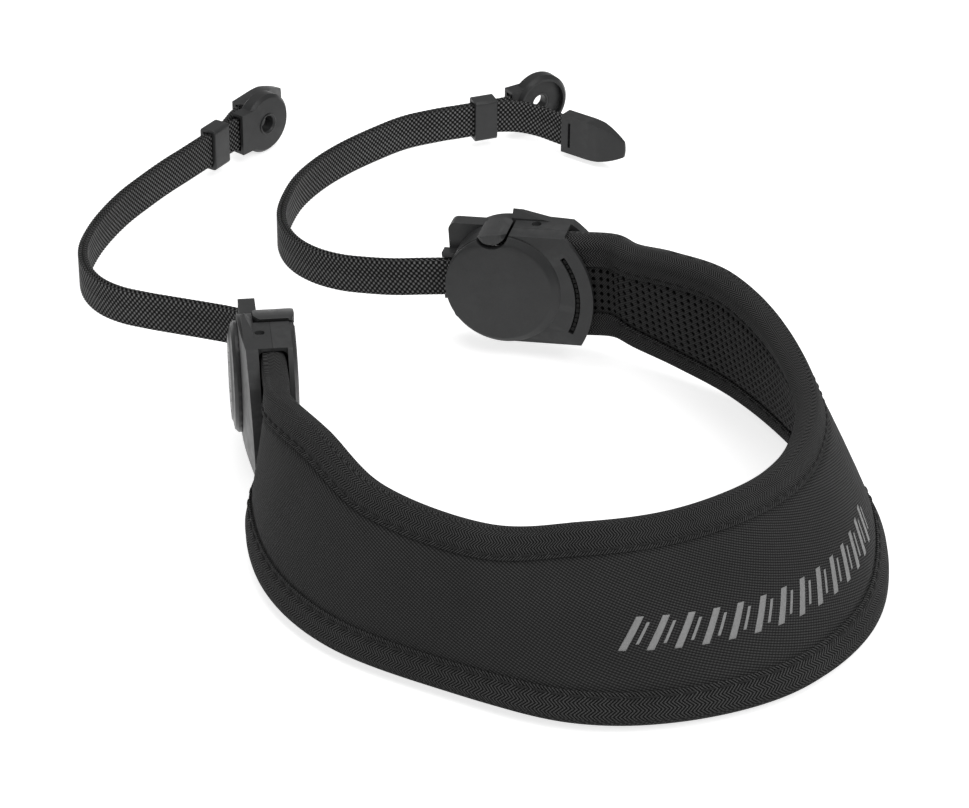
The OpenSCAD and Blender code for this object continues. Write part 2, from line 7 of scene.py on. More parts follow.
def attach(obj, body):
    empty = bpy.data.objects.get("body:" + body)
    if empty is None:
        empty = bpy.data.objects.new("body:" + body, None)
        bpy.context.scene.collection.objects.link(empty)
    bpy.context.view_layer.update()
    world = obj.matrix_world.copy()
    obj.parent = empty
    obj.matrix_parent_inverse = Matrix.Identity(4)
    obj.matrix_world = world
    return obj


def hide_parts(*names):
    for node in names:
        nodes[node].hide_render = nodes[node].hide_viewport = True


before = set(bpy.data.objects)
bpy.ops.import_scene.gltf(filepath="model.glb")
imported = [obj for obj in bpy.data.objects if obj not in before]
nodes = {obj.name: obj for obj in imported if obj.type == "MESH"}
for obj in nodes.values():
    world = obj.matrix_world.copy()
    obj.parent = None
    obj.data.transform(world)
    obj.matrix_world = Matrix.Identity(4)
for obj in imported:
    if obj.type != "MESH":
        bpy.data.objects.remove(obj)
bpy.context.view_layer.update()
MM = 0.001
UV_SCALE = 0.01

# ---------------------------------------------------------------- camera
AZIMUTH, ELEVATION, DISTANCE, ROLL, LENS = -36.0, 31.5, 0.792, 0.43, 125.94
TARGET = Vector((-0.00044, 0.02554, 0.0200))


def make_camera():
    a, e, r = (math.radians(v) for v in (AZIMUTH, ELEVATION, ROLL))
    back = Vector((math.sin(a) * math.cos(e), -math.cos(a) * math.cos(e), math.sin(e)))
    right = Vector((math.cos(a), math.sin(a), 0))
    up = back.cross(right)
    right, up = right * math.cos(r) + up * math.sin(r), up * math.cos(r) - right * math.sin(r)
    data = bpy.data.cameras.new("camera")
    data.lens, data.sensor_width = LENS, 36.0
    data.clip_start, data.clip_end = 0.05, 20.0
    camera = bpy.data.objects.new("camera", data)
    bpy.context.scene.collection.objects.link(camera)
    turn = Matrix((right, up, back)).transposed().to_4x4()
    camera.matrix_world = Matrix.Translation(TARGET + back * DISTANCE) @ turn
    bpy.context.scene.camera = camera


make_camera()


# ---------------------------------------------------------------- mesh helpers
def unit(v):
    return v / np.maximum(np.linalg.norm(v, axis=-1, keepdims=True), 1e-12)


def new_mesh(name, points, faces, uv=None, smooth=True, material=None):
    """A mesh object from points in millimetres. uv is one (s, t) in millimetres for each point."""
    mesh = bpy.data.meshes.new(name)
    corners = [list(map(int, f)) for f in faces]
    mesh.from_pydata((np.asarray(points, float) * MM).tolist(), [], corners)
    if uv is not None:
        layer = mesh.uv_layers.new(name="strap")
        loops = np.zeros(len(mesh.loops), np.int32)
        mesh.loops.foreach_get("vertex_index", loops)
        at_loops = (np.asarray(uv, float)[loops] * UV_SCALE).astype(np.float32)
        layer.data.foreach_set("uv", at_loops.ravel())
    mesh.validate()
    if smooth:
        mesh.shade_smooth()
    piece = bpy.data.objects.new(name, mesh)
    bpy.context.scene.collection.objects.link(piece)
    if material:
        mesh.materials.append(material)
    return piece


def grid_faces(rows, cols, wrap=False, flip=False, start=0):
    """Quads between rows of points; wrap joins the last column to the first."""
    i, k = np.meshgrid(np.arange(rows - 1), np.arange(cols if wrap else cols - 1), indexing="ij")
    m = (k + 1) % cols
    quads = np.stack([i * cols + k, (i + 1) * cols + k, (i + 1) * cols + m, i * cols + m], -1)
    quads = quads.reshape(-1, 4)
    return (quads[:, ::-1] if flip else quads) + start


def closed_loft(rings, flip=False):
    """Points and faces of a tube through equal rings, with both ends closed by fans."""
    rings = np.asarray(rings, float)
    rows, cols = rings.shape[:2]
    points = np.concatenate([rings.reshape(-1, 3), [rings[0].mean(0)], [rings[-1].mean(0)]])
    faces = grid_faces(rows, cols, wrap=True, flip=flip).tolist()
    first, last = rows * cols, rows * cols + 1
    base = (rows - 1) * cols
    for k in range(cols):
        m = (k + 1) % cols
        cap = [first, k, m] if not flip else [first, m, k]
        end = [last, base + m, base + k] if not flip else [last, base + k, base + m]
        faces += [cap, end]
    return points, faces


def smooth_line(points, steps):
    """The same smooth line through points as the part's own."""
    p = np.asarray(points, float)
    p = np.concatenate([p[:1], p, p[-1:]])
    t = (np.arange(steps) / steps)[:, None]
    out = []
    for a, b, c, d in zip(p, p[1:], p[2:], p[3:]):
        out.append(0.5 * (2 * b + (c - a) * t + (2 * a - 5 * b + 4 * c - d) * t ** 2
                          + (3 * b - a - 3 * c + d) * t ** 3))
    return np.concatenate(out + [p[-1:]])


def travel(line):
    return np.concatenate([[0], np.cumsum(np.linalg.norm(np.diff(line, axis=0), axis=1))])


def resample(line, at, by):
    return np.stack([np.interp(at, by, line[:, c]) for c in range(line.shape[1])], 1)


# the webbing's weave: length of a float along it, width of a yarn across it, in millimetres
FLOAT, YARN = 0.68, 0.73


# ---------------------------------------------------------------- node materials
class Shade:
    """One node material with a Principled shader, built from short calls."""

    def __init__(self, name, roughness=0.6, **sockets):
        self.material = bpy.data.materials.new(name)
        self.material.use_nodes = True
        self.tree = self.material.node_tree
        self.shader = self.tree.nodes["Principled BSDF"]
        self.shader.inputs["Roughness"].default_value = roughness
        for socket, value in sockets.items():
            self.shader.inputs[socket.replace("_", " ")].default_value = value

    def put(self, socket, value):
        if isinstance(value, bpy.types.NodeSocket):
            self.tree.links.new(value, socket)
        else:
            socket.default_value = value

    def math(self, operation, *values):
        node = self.tree.nodes.new("ShaderNodeMath")
        node.operation = operation
        for socket, value in zip(node.inputs, values):
            self.put(socket, value)
        return node.outputs[0]

    def place(self):
        """Object coordinates in metres."""
        return self.tree.nodes.new("ShaderNodeTexCoord").outputs["Object"]

    def along_across(self):
        """Millimetres along the strap and across it."""
        node = self.tree.nodes.new("ShaderNodeUVMap")
        node.uv_map = "strap"
        parts = self.tree.nodes.new("ShaderNodeSeparateXYZ")
        self.put(parts.inputs[0], node.outputs[0])
        return tuple(self.math("MULTIPLY", parts.outputs[k], 1 / UV_SCALE) for k in (0, 1))

    def noise(self, size_mm, detail=3.0, roughness=0.55):
        node = self.tree.nodes.new("ShaderNodeTexNoise")
        self.put(node.inputs["Vector"], self.place())
        node.inputs["Scale"].default_value = 1000.0 / size_mm
        node.inputs["Detail"].default_value = detail
        node.inputs["Roughness"].default_value = roughness
        return node.outputs["Fac"]

    def wave(self, value, period):
        """0 to 1 and back over each period."""
        turned = self.math("SINE", self.math("MULTIPLY", value, 2 * math.pi / period))
        return self.math("MULTIPLY_ADD", turned, 0.5, 0.5)

    def spread(self, value, low, high, to_low, to_high):
        node = self.tree.nodes.new("ShaderNodeMapRange")
        for socket, v in zip(node.inputs, (value, low, high, to_low, to_high)):
            self.put(socket, v)
        return node.outputs[0]

    def mix(self, share, a, b):
        node = self.tree.nodes.new("ShaderNodeMix")
        node.data_type = "RGBA"
        self.put(node.inputs["Factor"], share)
        for socket, v in ((node.inputs[6], a), (node.inputs[7], b)):
            self.put(socket, (*v, 1.0) if isinstance(v, tuple) else v)
        return node.outputs[2]

    def edges(self, low, high):
        """1 on sharp outer edges, 0 elsewhere."""
        node = self.tree.nodes.new("ShaderNodeNewGeometry")
        return self.spread(node.outputs["Pointiness"], low, high, 0.0, 1.0)

    def bump(self, height, depth_mm, under=None):
        node = self.tree.nodes.new("ShaderNodeBump")
        node.inputs["Strength"].default_value = 1.0
        node.inputs["Distance"].default_value = depth_mm * MM
        self.put(node.inputs["Height"], height)
        if under is not None:
            self.put(node.inputs["Normal"], under)
        self.put(self.shader.inputs["Normal"], node.outputs[0])
        return node.outputs[0]

    def colour(self, value):
        self.put(self.shader.inputs["Base Color"], value)

    def rough(self, value):
        self.put(self.shader.inputs["Roughness"], value)


def grey(value, tint=0.0):
    return (value * (1 - tint), value, value * (1 + tint))


def moulded(name, base, roughness, grain_mm=0.35, grain_depth=0.012, wear=0.5):
    """Satin moulded plastic: fine spark grain, faint flow marks, rubbed outer edges."""
    s = Shade(name, roughness, Specular_IOR_Level=0.32)
    cloud = s.noise(9.0, 4.0)
    fine = s.noise(grain_mm, 2.0)
    body = s.mix(s.spread(cloud, 0.3, 0.7, 0.0, 1.0),
                 grey(base * 0.9, 0.015), grey(base * 1.1, 0.015))
    speck = s.mix(s.spread(fine, 0.35, 0.7, 0.0, 0.35), body, grey(base * 1.35, 0.015))
    rubbed = s.math("MULTIPLY", s.edges(0.52, 0.6),
                    s.spread(s.noise(2.2, 3.0), 0.35, 0.65, 0.15 * wear, wear))
    s.colour(s.mix(rubbed, speck, grey(base * 2.0, 0.01)))
    s.rough(s.spread(s.noise(3.0, 4.0), 0.25, 0.75, roughness - 0.06, roughness + 0.08))
    s.bump(fine, grain_depth, s.bump(s.noise(4.0, 2.0), 0.02))
    return s.material


def woven(name, dark, light, pattern, depth_mm, sheen=0.25, roughness=0.85):
    """Cloth whose height follows a pattern of yarns and whose colour follows that height: painted
    shade in the hollows between yarns and painted highlight on the raised yarns, with fuzz and
    slight fading.
    """
    s = Shade(name, roughness, Sheen_Weight=sheen, Sheen_Roughness=0.45, Specular_IOR_Level=0.12)
    height = pattern(s)
    fuzz = s.noise(0.28, 3.0)
    faded = s.spread(s.noise(22.0, 3.0), 0.3, 0.7, 0.86, 1.12)
    tone = s.math("MULTIPLY", s.math("MULTIPLY_ADD", fuzz, 0.5, 0.75), faded)
    # colour runs from dark in the hollows to light on the raised yarns: painted shade and painted
    # highlight
    cloth = s.mix(s.math("MULTIPLY", height, tone), dark, light)
    s.colour(cloth)
    s.rough(s.spread(fuzz, 0.3, 0.7, roughness - 0.08, roughness + 0.08))
    s.bump(height, depth_mm, s.bump(fuzz, 0.05))
    return s.material


def twill(s):
    """Fine knit: short stitches in slanting rows."""
    along, across = s.along_across()
    rows = s.wave(s.math("MULTIPLY_ADD", along, 0.42, across), 0.62)
    beads = s.wave(s.math("MULTIPLY_ADD", across, -0.5, along), 0.74)
    return s.math("MULTIPLY", s.math("POWER", rows, 0.7), s.math("MULTIPLY_ADD", beads, 0.6, 0.4))


def herringbone(s):
    """Binding tape: slanting ribs that meet along the folded edge."""
    along, across = s.along_across()
    folded = s.math("PINGPONG", across, 1.3)
    ribs = s.spread(s.wave(s.math("MULTIPLY_ADD", folded, 0.95, along), 0.72), 0.15, 0.85, 0.0, 1.0)
    yarn = s.wave(s.math("MULTIPLY_ADD", folded, -0.7, along), 0.55)
    return s.math("MULTIPLY", ribs, s.math("MULTIPLY_ADD", yarn, 0.4, 0.6))


def air_mesh(s):
    """Threads of the spacer mesh that run slanting between its holes."""
    along, across = s.along_across()
    one = s.wave(s.math("ADD", along, across), 0.67)
    two = s.wave(s.math("SUBTRACT", along, across), 1.0)
    return s.math("MAXIMUM", s.math("MULTIPLY", one, 0.9), s.math("MULTIPLY", two, 0.55))


def ply(s):
    """Two twisted plies of a sewing thread."""
    along, across = s.along_across()
    return s.wave(s.math("MULTIPLY_ADD", across, 1.4, along), 0.35)


def yarns(s):
    """Plain weave of webbing, in step with the raised floats of its surface; the sharply cut raised
    floats carry the painted highlights of the webbing's colour.
    """
    along, across = s.along_across()
    column = s.math("FLOOR", s.math("DIVIDE", across, YARN))
    turn = s.math("MULTIPLY", s.math("MULTIPLY_ADD", along, 1 / FLOAT, column), math.pi)
    # sharp threshold so that the raised floats take the painted highlight colour
    raised = s.spread(s.math("COSINE", turn), -0.1, 0.9, 0.0, 1.0)
    rounded = s.math("MULTIPLY_ADD", s.wave(s.math("SUBTRACT", across, YARN / 4), YARN), 0.6, 0.4)
    strands = s.math("MULTIPLY_ADD",
                     s.wave(s.math("MULTIPLY_ADD", along, 0.35, across), 0.19), 0.3, 0.7)
    return s.math("MULTIPLY", s.math("MULTIPLY", raised, rounded), strands)


def brushed(name, base, roughness):
    s = Shade(name, roughness, Metallic=1.0)
    scratch = s.noise(0.12, 2.0)
    s.colour(s.mix(scratch, grey(base * 0.85), grey(base * 1.1)))
    s.rough(s.spread(s.noise(1.2, 3.0), 0.3, 0.7, roughness - 0.07, roughness + 0.1))
    s.bump(scratch, 0.008)
    return s.material


def printed(name, base):
    s = Shade(name, 0.5, Specular_IOR_Level=0.4)
    along, across = s.along_across()
    under = s.math("MULTIPLY", s.wave(along, 0.5), s.wave(across, 0.62))
    s.colour(s.mix(s.spread(s.noise(0.5, 3.0), 0.35, 0.7, 0.0, 0.6), grey(base), grey(base * 0.72)))
    s.rough(s.spread(s.noise(1.0), 0.3, 0.7, 0.42, 0.6))
    s.bump(under, 0.03)
    return s.material


SHELL = moulded("shell_plastic", 0.037, 0.40)
SHELL_OUTER = moulded("outer_plastic", 0.036, 0.34)
BUTTON = moulded("button_plastic", 0.044, 0.32, grain_mm=0.28, grain_depth=0.006)
SMALL = moulded("fitting_plastic", 0.030, 0.42, grain_mm=0.3)
# in each woven material the dark tone is painted shade in the hollows and the light tone is painted
# highlight on the raised yarns
KNIT = woven("knit", grey(0.007), grey(0.072), twill, 0.12, sheen=0.08)
LINING = woven("air_mesh", grey(0.006), grey(0.058), air_mesh, 0.10, sheen=0.06)
# near-black material for the inside of each mesh hole: painted shade
HOLE_SHADE = woven("air_mesh_hole_shade", grey(0.002), grey(0.007), air_mesh, 0.05, sheen=0.0)
TAPE = woven("tape", grey(0.003), grey(0.088), herringbone, 0.18, sheen=0.05)
# the webbing's light tone 0.32 on its raised floats is painted highlight, far lighter than the
# black yarn
WEBBING = woven("webbing", grey(0.002), grey(0.32), yarns, 0.08, sheen=0.03, roughness=0.7)
THREAD = woven("thread", grey(0.010), grey(0.042), ply, 0.05, sheen=0.1)
STEEL = brushed("steel", 0.45, 0.34)
PRINT = printed("print", 0.30)

# ---------------------------------------------------------------- places of the housings
# lengths are in millimetres from here to the floor and lamps, which are in metres
PITCH, HOUSING_Z = math.radians(4.0), 20.0
HOUSINGS = {"left": ((-34.0, 65.6), 61.0), "right": ((39.0, 70.1), 130.0)}


def seat(side, u, w=0.0, v=0.0):
    """A point of a housing's own frame (u to the webbing, v outwards, w up) in the part's frame."""
    (x, y), heading = HOUSINGS[side]
    h = math.radians(heading)
    reach = u * math.cos(PITCH) + w * math.sin(PITCH)
    out = v if side == "left" else -v
    return np.array([x + reach * math.cos(h) - out * math.sin(h),
                     y + reach * math.sin(h) + out * math.cos(h),
                     HOUSING_Z - u * math.sin(PITCH) + w * math.cos(PITCH)])


# ---------------------------------------------------------------- webbing
# width, thickness, and how far each of the two layers lies from the line between them
WEB_W, WEB_T, LAYER = 9.5, 1.2, 0.68
# the back face's weave starts later along the strap, and its map lies so many yarns further across
BACK_PHASE, BACK_YARNS, SELVEDGE = 0.34, 28, 0.05
LEFT_ROUTE = [
    seat("left", 15), (-24.3, 84.6, 17.9), (-23.5, 91.1, 16.4), (-25, 98.1, 15.1),
    (-28, 105.1, 14.1), (-31.8, 112.6, 13.2), (-35.7, 120.1, 12.4), (-38.9, 128.1, 11.5),
    (-39.9, 136.8, 10.6), (-38.1, 146.2, 9.7), (-33.5, 155.6, 8.9), (-27, 163.4, 8.3),
    (-19, 170.4, 8.1), (-9, 176.9, 8.25), (2, 182.1, 8.5), (9.5, 185.2, 8.7),
    (16.5, 187.9, 8.7), (23, 190.5, 8.7), (29.5, 193.1, 8.7)]
RIGHT_ROUTE = [
    seat("right", 15), (24.7, 87.1, 17.8), (20.4, 93.1, 16.3), (16.7, 99.9, 14.8),
    (13.5, 107.1, 13.4), (11.5, 115.4, 12.2), (11.5, 124.4, 11.1), (13.9, 133.6, 10),
    (18.7, 142.8, 8.9), (25.8, 151.2, 8.2), (34.5, 158.6, 8), (44.8, 164, 8), (55.5, 167.5, 8),
    (66.5, 169.4, 8.15), (76.5, 170, 8.4), (86, 168.2, 8.6), (92.7, 166.4, 8.6),
    (99.5, 164.6, 8.6)]
LEFT_MAIN_END = [
    (33.2, 194.6, 8.7), (35.8, 195.4, 8.8), (38.2, 195.7, 8.9)]
LEFT_TAIL_END = [
    (33.2, 194.6, 8.7), (36.6, 197.1, 8.6), (39.6, 199.5, 8.5), (42.9, 201.4, 8.4),
    (44.9, 202.2, 8.4)]
RIGHT_MAIN_END = [
    (103.4, 163.6, 8.6), (106.2, 163, 8.65), (108.9, 163.25, 8.7)]
RIGHT_TAIL_END = [
    (103.4, 163.6, 8.6), (108.8, 160.9, 8.1), (112.5, 156.6, 7.6), (114.5, 151.5, 7.3),
    (115.7, 147.6, 7.2), (116.4, 145.5, 7.2)]


def weave(s, t):
    """Height of plain weave: raised floats that swap between neighbouring yarns along the strap."""
    column = np.floor(t / YARN)
    within = t / YARN - column - 0.5
    ridge = np.sqrt(np.maximum(0, 1 - (2 * within) ** 2)) * 0.6 + 0.4
    return 0.10 * np.cos(np.pi * (s / FLOAT + column)) * ridge


def webbing_strip(name, route, first_way, shift, ups=None):
    """A ribbed flat strip on edge along a route, and its centreline, both in millimetres."""
    dense = smooth_line(route, 40)
    by = travel(dense)
    count = int(by[-1] / (FLOAT / 3)) + 1
    at = np.linspace(0, by[-1], count)
    centre = resample(dense, at, by)
    way = unit(np.gradient(centre, axis=0))
    if first_way is not None:
        share = np.clip(1 - at / 3.0, 0, 1)[:, None]
        way = unit(way * (1 - share) + first_way * share)
    if ups is None:
        side = unit(np.stack([-way[:, 1], way[:, 0], 0 * way[:, 0]], 1))
        up = unit(np.cross(way, side))
    else:
        up = np.repeat(np.asarray(ups)[None], count, 0)
        side = unit(np.cross(up, way))
    half = WEB_T / 2 - 0.08
    face_t = np.linspace(-WEB_W / 2 + 0.25, WEB_W / 2 - 0.25, 27)
    section = [(half, t, 1) for t in face_t]
    section += [(half * 0.5, WEB_W / 2, 0), (-half * 0.5, WEB_W / 2, 0)]
    section += [(-half, t, -1) for t in face_t[::-1]]
    section += [(-half * 0.5, -WEB_W / 2, 0), (half * 0.5, -WEB_W / 2, 0)]
    rings, uv = np.zeros((count, len(section), 3)), np.zeros((count, len(section), 2))
    middle = centre + side * shift
    for k, (a, t, facing) in enumerate(section):
        phase, aside = (BACK_PHASE, BACK_YARNS * YARN) if facing < 0 else (0, 0)
        if facing:
            height = facing * weave(at + phase, np.full(count, t + WEB_W / 2))
        else:
            height = SELVEDGE * np.cos(np.pi * at / FLOAT) * np.sign(a)
        rings[:, k] = middle + side * (a + height)[:, None] + up * t
        uv[:, k] = np.stack([at + phase, np.full(count, t + WEB_W / 2 + aside)], 1)
    points, faces = closed_loft(rings)
    uv = np.concatenate([uv.reshape(-1, 2), uv[0, :1], uv[-1, :1]])
    return new_mesh(name, points, faces, uv, material=WEBBING), middle


def mouth_way(side):
    return unit(seat(side, 1) - seat(side, 0))


for side, route, main_end, tail_end, sign in (
        ("left", LEFT_ROUTE, LEFT_MAIN_END, LEFT_TAIL_END, -1),
        ("right", RIGHT_ROUTE, RIGHT_MAIN_END, RIGHT_TAIL_END, 1)):
    for layer, end, shift in (("main", main_end, sign * LAYER), ("tail", tail_end, -sign * LAYER)):
        name = f"{side}_webbing_{layer}"
        piece, middle = webbing_strip(name, route + end, mouth_way(side), shift)
        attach(piece, "root")
        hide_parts(f"{side}_strap_{layer}")

# the same webbing round the turning roller, inside each housing
for side in ("left", "right"):
    arc = [(2.2 * math.cos(a), 2.2 * math.sin(a)) for a in np.radians(np.linspace(100, 260, 17))]
    inside = [(14.9, 0.7), (10, 1.15), (5, 1.7)] + arc + [(5, -1.7), (10, -1.15), (14.9, -0.7)]
    up = unit(seat(side, 0, 1) - seat(side, 0, 0))
    route = [seat(side, u, 0, v) for u, v in inside]
    piece, _ = webbing_strip(f"{side}_webbing_turned", route, None, 0.0, up)
    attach(piece, "root")
    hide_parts(f"{side}_webbing_turn")

# ---------------------------------------------------------------- neck pad surface
PAD_END_U, PAD_END_HALF = -10.8, 13.8
LOWER = [
    (-60.3, 31.6, 4.2), (-69.3, 10.1, 2), (-68.8, -13.9, 1.2), (-57.7, -40.4, 1.2),
    (-43.5, -64.6, 1.2), (-23.5, -78.4, 1.2), (1.5, -84.1, 1.2), (25.5, -78.7, 1.2),
    (44.5, -64.4, 1.2), (60.8, -40.8, 1.2), (68.5, -8.9, 1.2), (69.8, 14.1, 2.4),
    (64.9, 31.1, 5), (60.3, 42.8, 6.6)]
UPPER = [
    (-52, 31.4, 38.2), (-53.7, 12.6, 39.2), (-53.3, -9.9, 35.9), (-43.5, -35.4, 35.9),
    (-28.5, -48.9, 38.1), (-13.5, -55.7, 38.4), (1.5, -57.9, 38.6), (16.5, -55.4, 37.8),
    (31, -47.9, 37.2), (45.5, -33.4, 37.4), (57.1, -8.7, 38.9), (60.1, 12.9, 40.5),
    (57, 29.6, 39.2), (55.7, 42.1, 36.3)]
STEPS = 24
BIND_W, BIND_T, CORE, OUTSIDE = 7.2, 0.45, 2.5, 3.05
PINCH, RIPPLE, RIPPLE_LENGTH = 0.42, 0.05, 3.4


def pad_edge(points, w):
    left = [seat("left", u, w) for u in (PAD_END_U, -18, -27)]
    right = [seat("right", u, w) for u in (-27, -18, PAD_END_U)]
    return smooth_line(left + list(points) + right, STEPS)


low_line, high_line = pad_edge(LOWER, -PAD_END_HALF), pad_edge(UPPER, PAD_END_HALF)
pad_by = travel((low_line + high_line) / 2)
PAD_LENGTH = pad_by[-1]


class Pad:
    """The pad's middle surface, sampled at distances s along it."""

    def __init__(self, s):
        self.s = np.asarray(s, float)
        self.low = resample(low_line, self.s, pad_by)
        self.high = resample(high_line, self.s, pad_by)
        self.width = np.linalg.norm(self.high - self.low, axis=1)
        up = unit(self.high - self.low)
        way = unit(np.gradient(self.low, axis=0)) + unit(np.gradient(self.high, axis=0))
        self.up, self.out = up, unit(np.cross(unit(way), up))

    def at(self, across, out, low=True):
        """Points across from one edge and out from the middle plane, one for each station."""
        across = np.broadcast_to(across, self.s.shape)[:, None]
        out = np.broadcast_to(out, self.s.shape)[:, None]
        edge = self.low + self.up * across if low else self.high - self.up * across
        return edge + self.out * out


class PadAt(Pad):
    """The pad at stations in any order; directions come from the dense lines."""

    def __init__(self, s):
        self.s = np.asarray(s, float)
        dense = Pad(np.linspace(0, PAD_LENGTH, 1600))
        self.low, self.high, up, out = (
            resample(line, self.s, dense.s)
            for line in (dense.low, dense.high, dense.up, dense.out))
        self.up, self.out = unit(up), unit(out)
        self.width = np.linalg.norm(self.high - self.low, axis=1)


def ease(x, a, b):
    t = np.clip((x - a) / (b - a), 0, 1)
    return t * t * (3 - 2 * t)


# ---------------------------------------------------------------- swelling of the pad
SIM_ROWS, SIM_COLS, SIM_FRAMES = 118, 15, 20
SIM_HALF, SIM_HELD_ROWS = 2.0, 8
AVERAGED, USUAL_TOP = 9, 97
# how high the cover rises at most, and over what stretch beside each housing it starts to rise
CAP, RISE_FROM, RISE_BY = 0.95, 25, 60


def evened(rise):
    """Averages neighbouring stations along the pad and scales the usual top to 1."""
    wide = np.pad(rise, ((AVERAGED // 2,) * 2, (0, 0)), mode="edge")
    rise = sum(wide[i:i + SIM_ROWS] for i in range(AVERAGED)) / AVERAGED
    return np.clip(rise / max(np.percentile(rise, USUAL_TOP), 1e-6), 0, 1.05)


def swell_by_cloth():
    """Height that the stuffed body rises between its sewn edges, simulated with pressure."""
    pad = Pad(np.linspace(0, PAD_LENGTH, SIM_ROWS))
    share = np.linspace(0, 1, SIM_COLS)
    outer = np.stack([pad.at(a * pad.width, SIM_HALF) for a in share], 1)
    inner = np.stack([pad.at(a * pad.width, -SIM_HALF) for a in share], 1)
    rings = np.concatenate([outer, inner[:, ::-1]], 1)
    points, faces = closed_loft(rings)
    body = new_mesh("pad_sim", points, faces)
    group = body.vertex_groups.new(name="sewn")
    held = []
    for i in range(SIM_ROWS):
        for k in range(2 * SIM_COLS):
            across = share[k if k < SIM_COLS else 2 * SIM_COLS - 1 - k] * pad.width[i]
            edge = min(across, pad.width[i] - across)
            if edge < BIND_W - 1 or min(i, SIM_ROWS - 1 - i) < SIM_HELD_ROWS:
                held.append(i * 2 * SIM_COLS + k)
    group.add(held + [len(points) - 2, len(points) - 1], 1.0, "REPLACE")
    cloth = body.modifiers.new("Cloth", "CLOTH")
    settings = cloth.settings
    settings.quality = 6
    settings.mass = 0.002
    settings.tension_stiffness = settings.compression_stiffness = 5
    settings.shear_stiffness = 2
    settings.bending_stiffness = 0.1
    settings.use_pressure = True
    settings.uniform_pressure_force = 60.0
    settings.vertex_group_mass = "sewn"
    settings.effector_weights.gravity = 0
    cloth.collision_settings.use_collision = False
    for frame_number in range(1, SIM_FRAMES + 1):
        bpy.context.scene.frame_set(frame_number)
    shown = body.evaluated_get(bpy.context.evaluated_depsgraph_get())
    moved = np.zeros(len(points) * 3)
    shown.data.vertices.foreach_get("co", moved)
    moved = moved.reshape(-1, 3)[:-2].reshape(SIM_ROWS, 2 * SIM_COLS, 3) / MM
    rise = ((moved - rings) * pad.out[:, None]).sum(2)
    bpy.context.scene.frame_set(1)
    bpy.data.objects.remove(body)
    return evened(rise[:, :SIM_COLS]), evened(-rise[:, ::-1][:, :SIM_COLS])


def swell_by_rule():
    """The same height as a plain round crown that fades out towards the housings."""
    s = np.linspace(0, PAD_LENGTH, SIM_ROWS)
    along = ease(s, RISE_FROM, RISE_BY) * ease(PAD_LENGTH - s, RISE_FROM, RISE_BY)
    return np.outer(along, np.sin(np.pi * np.linspace(0, 1, SIM_COLS)) ** 1.5)


rise_out = rise_in = swell_by_rule()
cloth_out, cloth_in = swell_by_cloth()
rise_out, rise_in = 0.5 * (rise_out + cloth_out), 0.5 * (rise_in + cloth_in)
rise_out, rise_in = CAP * rise_out, CAP * rise_in


def swell(rise, s, fraction):
    """Rise at distance s and a fraction of the width, blended smoothly between the known points."""
    i = np.clip(s / PAD_LENGTH * (SIM_ROWS - 1), 0, SIM_ROWS - 1.001)
    k = np.clip(fraction * (SIM_COLS - 1), 0, SIM_COLS - 1.001)
    i0, k0 = i.astype(int), k.astype(int)
    a, b = i - i0, k - k0
    a, b = a * a * (3 - 2 * a), b * b * (3 - 2 * b)
    return ((rise[i0, k0] * (1 - a) + rise[i0 + 1, k0] * a) * (1 - b)
            + (rise[i0, k0 + 1] * (1 - a) + rise[i0 + 1, k0 + 1] * a) * b)


def face_height(pad, across, rise):
    """Distance of a cloth face from the middle plane: pinched at the seams, swollen between."""
    edge = np.minimum(across, pad.width - across)
    pinch = PINCH * np.exp(-((edge - BIND_W - 0.2) / 0.8) ** 2)
    ripple = RIPPLE * np.sin(2 * np.pi * pad.s / RIPPLE_LENGTH)
    ripple = ripple * np.exp(-((edge - BIND_W) / 1.6) ** 2)
    return CORE + swell(rise, pad.s, across / pad.width) - pinch + ripple


# outer knit: a closed slab from the knit face to the middle of the foam
pad = Pad(np.linspace(0.1, PAD_LENGTH - 0.1, 520))
fractions = np.concatenate([[0.012], np.linspace(0.06, 0.94, 54), [0.988]])
outer = np.stack([pad.at(f * pad.width, face_height(pad, f * pad.width, rise_out))
                  for f in fractions], 1)
core = np.stack([pad.at(f * pad.width, 0.05) for f in fractions[::5]], 1)
uv = np.stack([np.stack([pad.s, f * pad.width], 1) for f in fractions], 1)
rings = np.concatenate([outer, core[:, ::-1]], 1)
uv = np.concatenate([uv, uv[:, ::5][:, ::-1]], 1)
points, faces = closed_loft(rings)
uv = np.concatenate([uv.reshape(-1, 2), uv[0, :1], uv[-1, :1]])
cover = new_mesh("pad_knit_body", points, faces, uv, material=KNIT)
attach(cover, "root")
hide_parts("pad_outer_cover", "pad_foam")


# inner lining: every hole of the air mesh is a real dimple in a lattice of cells
CELL, LINING_MARGIN = 2.05, 1.4
# radius and depth of the rings that go down into a hole, from its rim
HOLE_RINGS = ((0.70, -0.04), (0.53, 0.14), (0.45, 0.85))


